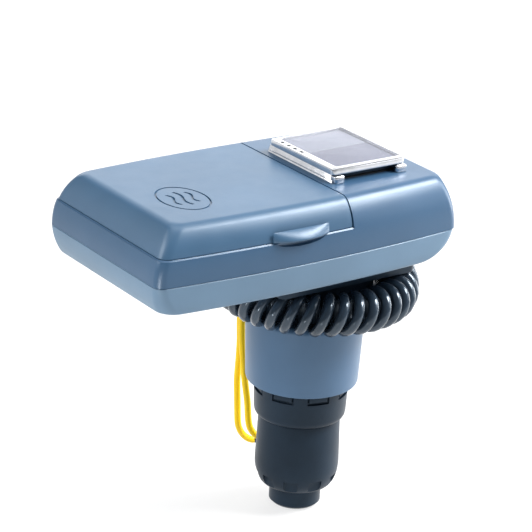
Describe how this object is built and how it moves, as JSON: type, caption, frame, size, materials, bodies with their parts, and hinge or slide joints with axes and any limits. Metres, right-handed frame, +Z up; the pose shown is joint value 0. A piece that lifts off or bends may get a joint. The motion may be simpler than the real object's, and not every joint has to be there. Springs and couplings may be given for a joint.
{
  "type": "solar irrigation valve actuator head",
  "caption": "Solar-powered controller head: lidded control box with a solar panel, docked on a latching solenoid actuator with a curly cord and a sensor wire loop.",
  "frame": {"origin": "actuator axis at the valve adapter's seat face, where its spigot enters the valve", "axes": "+Z up along the actuator, +X along the box towards the solar panel, -Y towards the lid's finger lip"},
  "size_m": [0.1267, 0.0847, 0.1365],
  "materials": {
    "case_upper": "fine satin grain",
    "case_lid": "fine satin grain",
    "case_lower": "fine satin grain",
    "housing_blue": "satin",
    "black_plastic": "satin, slightly glossy",
    "black_rubber": "matt",
    "cord_black": "glossy polyurethane jacket",
    "yellow_wire": "smooth insulation",
    "chrome_trim": "bright chrome",
    "panel_glass": "clear",
    "cell_light": "smooth amorphous film",
    "cell_dark": "smooth amorphous film",
    "panel_backing": "matt",
    "steel": "bright zinc",
    "iron_can": "zinc plated",
    "brass_tube": "drawn",
    "copper": "enamelled wire",
    "nylon": "natural nylon",
    "keypad_plate": "fine matt",
    "button_grey": "soft touch",
    "keypad_rubber": "silicone",
    "lcd_face": "reflective twisted nematic",
    "circuit_board": "solder mask",
    "capacitor_sleeve": "heat-shrink sleeve",
    "terminal_green": "moulded"
  },
  "bodies": {
    "head": {"lower_case": "case_lower", "upper_case": "case_upper", "case_gasket": "black_rubber", "case_screws": "steel", "lid_gasket": "black_rubber", "lid_hinge_pins": "steel", "faceplate": "keypad_plate", "lcd_window": "panel_glass", "lcd_module": "lcd_face", "keypad_mat": "keypad_rubber", "main_board": "circuit_board", "charge_board": "circuit_board", "board_screws": "steel", "supercapacitors": "capacitor_sleeve", "terminal_block": "terminal_green", "solar_seal": "black_rubber", "solar_tray": "chrome_trim", "solar_carrier": "black_plastic", "solar_backplate": "panel_backing", "solar_cell_rear": "cell_light", "solar_cell_front": "cell_dark", "solar_glass": "panel_glass", "solar_frame": "chrome_trim", "solar_screws": "steel", "dock_bracket": "black_plastic", "dock_screws": "steel", "neck_post": "black_plastic", "neck_screws": "steel", "box_gland": "black_rubber", "actuator_gland": "black_rubber", "sensor_grommet": "black_rubber", "curly_cord": "cord_black", "cord_tail_box": "cord_black", "cord_tail_actuator": "cord_black", "sensor_wire": "yellow_wire", "wire_splice": "black_rubber", "actuator_housing": "housing_blue", "flux_can": "iron_can", "flux_washer": "iron_can", "bobbin": "nylon", "winding": "copper", "latch_magnet": "steel", "pole_piece": "steel", "core_tube": "brass_tube", "plunger_spring": "steel", "actuator_base": "black_plastic", "base_oring": "black_rubber", "valve_adapter": "black_plastic", "adapter_oring": "black_rubber", "spigot_oring": "black_rubber"},
    "lid": {"lid": "case_lid"},
    "plunger": {"plunger": "steel", "plunger_seal": "black_rubber"},
    "button_1": {"button_1": "button_grey"},
    "button_2": {"button_2": "button_grey"},
    "button_3": {"button_3": "button_grey"},
    "button_4": {"button_4": "button_grey"}
  },
  "joints": [
    {"name": "lid_hinge", "type": "hinge", "parent": "head", "child": "lid", "pos_m": [-0.0242, 0.041, 0.114], "axis": [-1, 0, 0], "range_deg": [0, 115]},
    {"name": "button_1_press", "type": "slide", "parent": "head", "child": "button_1", "axis": [0, 0, 1], "range_m": [-0.0009, 0], "stiffness_N_per_m": 300, "springref_m": 0.0006},
    {"name": "button_2_press", "type": "slide", "parent": "head", "child": "button_2", "axis": [0, 0, 1], "range_m": [-0.0009, 0], "stiffness_N_per_m": 300, "springref_m": 0.0006},
    {"name": "button_3_press", "type": "slide", "parent": "head", "child": "button_3", "axis": [0, 0, 1], "range_m": [-0.0009, 0], "stiffness_N_per_m": 300, "springref_m": 0.0006},
    {"name": "button_4_press", "type": "slide", "parent": "head", "child": "button_4", "axis": [0, 0, 1], "range_m": [-0.0009, 0], "stiffness_N_per_m": 300, "springref_m": 0.0006},
    {"name": "plunger_lift", "type": "slide", "parent": "head", "child": "plunger", "axis": [0, 0, 1], "range_m": [0, 0.0018], "stiffness_N_per_m": 250, "springref_m": -0.003, "deforming": ["plunger_spring"]}
  ]
}
